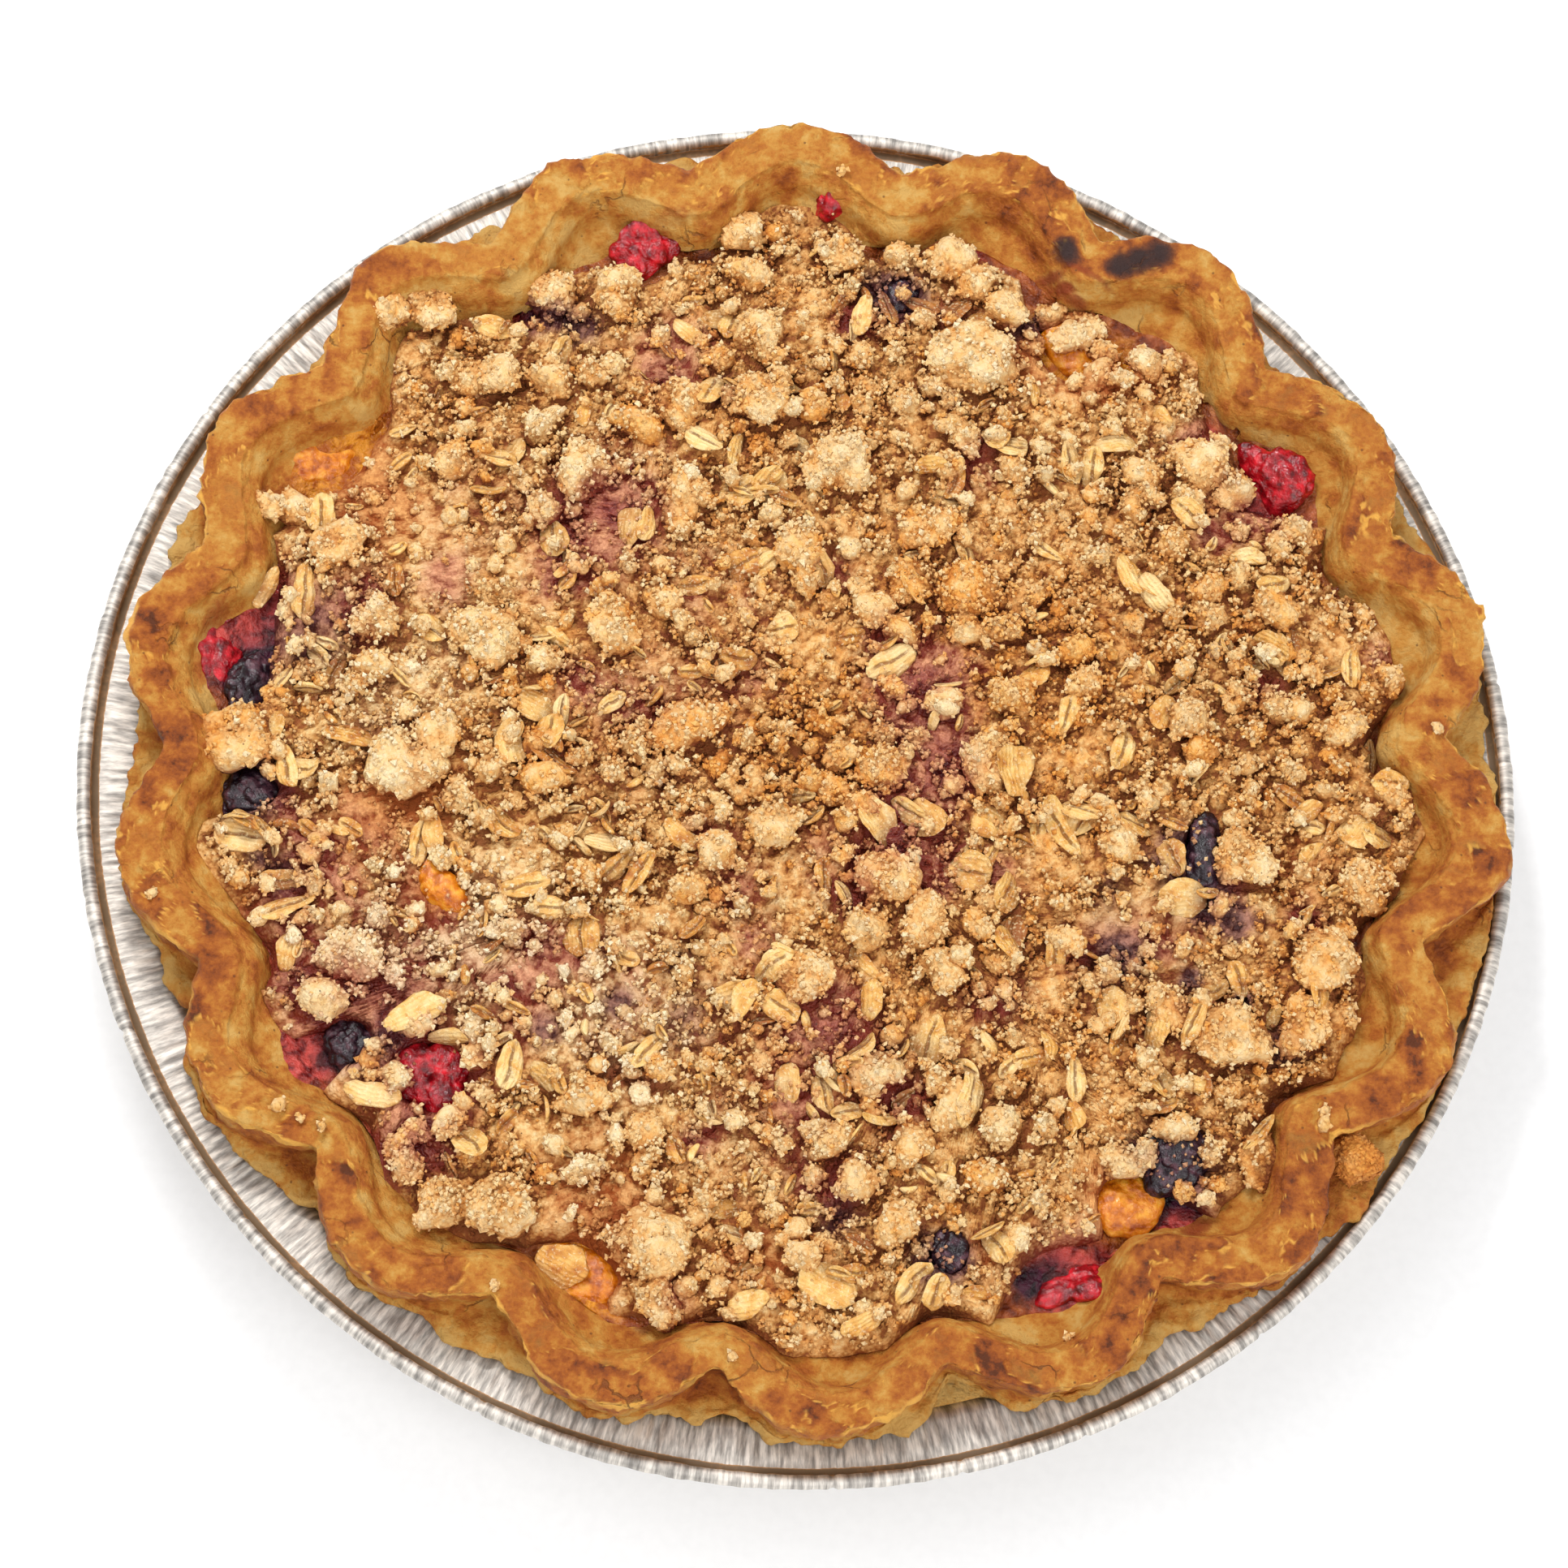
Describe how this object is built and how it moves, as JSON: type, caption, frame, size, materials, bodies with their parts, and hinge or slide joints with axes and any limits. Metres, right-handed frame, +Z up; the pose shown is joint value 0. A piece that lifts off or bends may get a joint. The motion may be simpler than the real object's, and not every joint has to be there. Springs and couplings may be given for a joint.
{
  "type": "strawberry mango crumb pie",
  "caption": "Round fruit pie with a pinched fluted crust, oat crumb topping and fruit showing at the edge, in its foil pan.",
  "frame": {"origin": "middle of the pan's underside, on the surface that it stands on", "axes": "+Z up out of the pie, +X and +Y along the table, the near side of the picture towards -Y"},
  "size_m": [0.2444, 0.2444, 0.0414],
  "materials": {
    "foil": "bright pleated foil",
    "crust": "baked pastry, satin where browned",
    "crumb": "dry baked oat crumb",
    "filling": "wet fruit jelly",
    "strawberry": "wet cooked fruit",
    "mango": "wet cooked fruit",
    "dark_berry": "wet cooked fruit"
  },
  "bodies": {
    "root": {"foil_pan": "foil", "pie_crust": "crust", "fruit_filling": "filling", "crumb_topping": "crumb", "strawberry_1": "strawberry", "strawberry_2": "strawberry", "strawberry_3": "strawberry", "strawberry_4": "strawberry", "strawberry_5": "strawberry", "strawberry_6": "strawberry", "mango_1": "mango", "mango_2": "mango", "mango_3": "mango", "mango_4": "mango", "mango_5": "mango", "dark_berry_1": "dark_berry", "dark_berry_2": "dark_berry", "dark_berry_3": "dark_berry", "dark_berry_4": "dark_berry", "dark_berry_5": "dark_berry", "dark_berry_6": "dark_berry", "dark_berry_7": "dark_berry", "brim_crumb": "crumb"}
  },
  "joints": []
}
